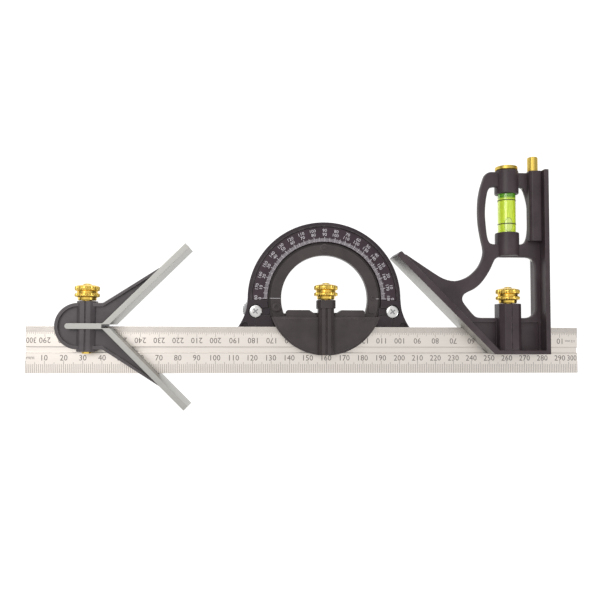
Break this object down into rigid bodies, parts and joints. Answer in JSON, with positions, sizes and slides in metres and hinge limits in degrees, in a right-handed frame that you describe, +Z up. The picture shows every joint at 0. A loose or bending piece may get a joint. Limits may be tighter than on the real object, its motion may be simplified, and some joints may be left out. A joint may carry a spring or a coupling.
{
  "type": "combination square",
  "caption": "Grooved steel rule carrying a square head with spirit level and scriber, a protractor head and a centre head, each slid along the rule and held by a knurled nut.",
  "frame": {"origin": "centre of the bounding box in X and Y, on the bench plane that the heads' back faces lie on", "axes": "+X along the rule towards its 300 mm end, +Y from the rule towards the top of the square face, +Z up out of the heads' front faces"},
  "size_m": [0.3, 0.1382, 0.0205],
  "materials": {
    "rule": "satin",
    "centre_head": "satin",
    "centre_head_draw_bolt": "polished",
    "centre_head_clamp_nut": "polished",
    "turret": "satin",
    "turret_draw_bolt": "polished",
    "turret_clamp_nut": "polished",
    "protractor_frame": "satin",
    "degree_band": "satin",
    "turret_shoe_left": "satin",
    "turret_shoe_right": "satin",
    "shoe_screw_left": "polished",
    "shoe_screw_right": "polished",
    "lock_screw": "satin",
    "square_head": "satin",
    "square_head_draw_bolt": "polished",
    "square_head_clamp_nut": "polished",
    "vial_tube": "clear",
    "vial_fluid": "liquid",
    "vial_plug_low": "matte",
    "vial_plug_top": "matte",
    "vial_cap": "polished",
    "scriber_head": "polished",
    "scriber_needle": "ground"
  },
  "bodies": {
    "rule": {"rule": "rule"},
    "centre_head": {"centre_head": "centre_head"},
    "centre_nut": {"centre_head_clamp_nut": "centre_head_clamp_nut"},
    "centre_bolt": {"centre_head_draw_bolt": "centre_head_draw_bolt"},
    "turret": {"turret": "turret"},
    "turret_nut": {"turret_clamp_nut": "turret_clamp_nut"},
    "turret_bolt": {"turret_draw_bolt": "turret_draw_bolt"},
    "frame": {"protractor_frame": "protractor_frame", "degree_band": "degree_band", "turret_shoe_left": "turret_shoe_left", "turret_shoe_right": "turret_shoe_right", "shoe_screw_left": "shoe_screw_left", "shoe_screw_right": "shoe_screw_right"},
    "lock": {"lock_screw": "lock_screw"},
    "square_head": {"square_head": "square_head", "vial_tube": "vial_tube", "vial_fluid": "vial_fluid", "vial_plug_low": "vial_plug_low", "vial_plug_top": "vial_plug_top", "vial_cap": "vial_cap"},
    "square_nut": {"square_head_clamp_nut": "square_head_clamp_nut"},
    "square_bolt": {"square_head_draw_bolt": "square_head_draw_bolt"},
    "scriber": {"scriber_head": "scriber_head", "scriber_needle": "scriber_needle"}
  },
  "joints": [
    {"name": "centre_head_slide", "type": "slide", "parent": "rule", "child": "centre_head", "axis": [1, 0, 0], "range_m": [-0.02, 0]},
    {"name": "centre_nut_turn", "type": "hinge", "parent": "centre_head", "child": "centre_nut", "pos_m": [-0.1171, -0.01178, 0.0136], "axis": [0, 1, 0], "range_deg": [0, 360]},
    {"name": "centre_bolt_slide", "type": "slide", "parent": "centre_head", "child": "centre_bolt", "axis": [0, 1, 0], "range_m": [-0.0008, 0]},
    {"name": "turret_slide", "type": "slide", "parent": "rule", "child": "turret", "axis": [1, 0, 0], "range_m": [-0.01, 0.0014]},
    {"name": "turret_nut_turn", "type": "hinge", "parent": "turret", "child": "turret_nut", "pos_m": [0.0092, -0.01058, 0.0136], "axis": [0, 1, 0], "range_deg": [0, 360]},
    {"name": "turret_bolt_slide", "type": "slide", "parent": "turret", "child": "turret_bolt", "axis": [0, 1, 0], "range_m": [-0.0008, 0]},
    {"name": "frame_turn", "type": "hinge", "parent": "turret", "child": "frame", "pos_m": [0.0092, -0.00968, 0.0045], "axis": [0, 0, 1], "range_deg": [-140, 0]},
    {"name": "lock_turn", "type": "hinge", "parent": "frame", "child": "lock", "pos_m": [-0.0306, -0.01598, 0.0024], "axis": [0, 0, 1], "range_deg": [0, 360]},
    {"name": "square_head_slide", "type": "slide", "parent": "rule", "child": "square_head", "axis": [1, 0, 0], "range_m": [0, 0.018]},
    {"name": "square_nut_turn", "type": "hinge", "parent": "square_head", "child": "square_nut", "pos_m": [0.1092, -0.01208, 0.0136], "axis": [0, 1, 0], "range_deg": [0, 360]},
    {"name": "square_bolt_slide", "type": "slide", "parent": "square_head", "child": "square_bolt", "axis": [0, 1, 0], "range_m": [-0.0008, 0]},
    {"name": "scriber_slide", "type": "slide", "parent": "square_head", "child": "scriber", "axis": [0, 1, 0], "range_m": [0, 0.034]}
  ],
  "couplings": [
    {"joint": "centre_bolt_slide", "follows": "centre_nut_turn", "m_per_rad": -0.0001273},
    {"joint": "turret_bolt_slide", "follows": "turret_nut_turn", "m_per_rad": -0.0001273},
    {"joint": "square_bolt_slide", "follows": "square_nut_turn", "m_per_rad": -0.0001273}
  ]
}
